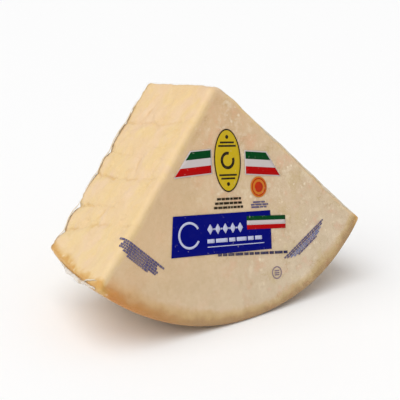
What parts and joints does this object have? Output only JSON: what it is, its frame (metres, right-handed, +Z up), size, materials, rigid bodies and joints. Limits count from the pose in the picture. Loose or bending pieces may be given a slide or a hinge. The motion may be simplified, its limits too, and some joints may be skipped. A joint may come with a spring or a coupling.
{
  "type": "vacuum-packed hard cheese wedge",
  "caption": "Wedge of hard grainy cheese in tight clear film: smooth sawn front with plain print, stepped split sides, golden rind below and behind.",
  "frame": {"origin": "middle of the bounding box's bottom, on the surface that the wedge stands on", "axes": "+X to the right along the sawn front face's chord, +Y from the sawn front to the back, +Z up"},
  "size_m": [0.2933, 0.1703, 0.1978],
  "materials": {
    "cheese": "pale straw cheese, fine grain, darkening to a golden brown rind",
    "film": "clear thin film, drawn tight, soft gloss",
    "print": "flat ink on the film, in plain fields of colour"
  },
  "bodies": {
    "root": {"cheese_wedge": "cheese"}
  },
  "joints": []
}
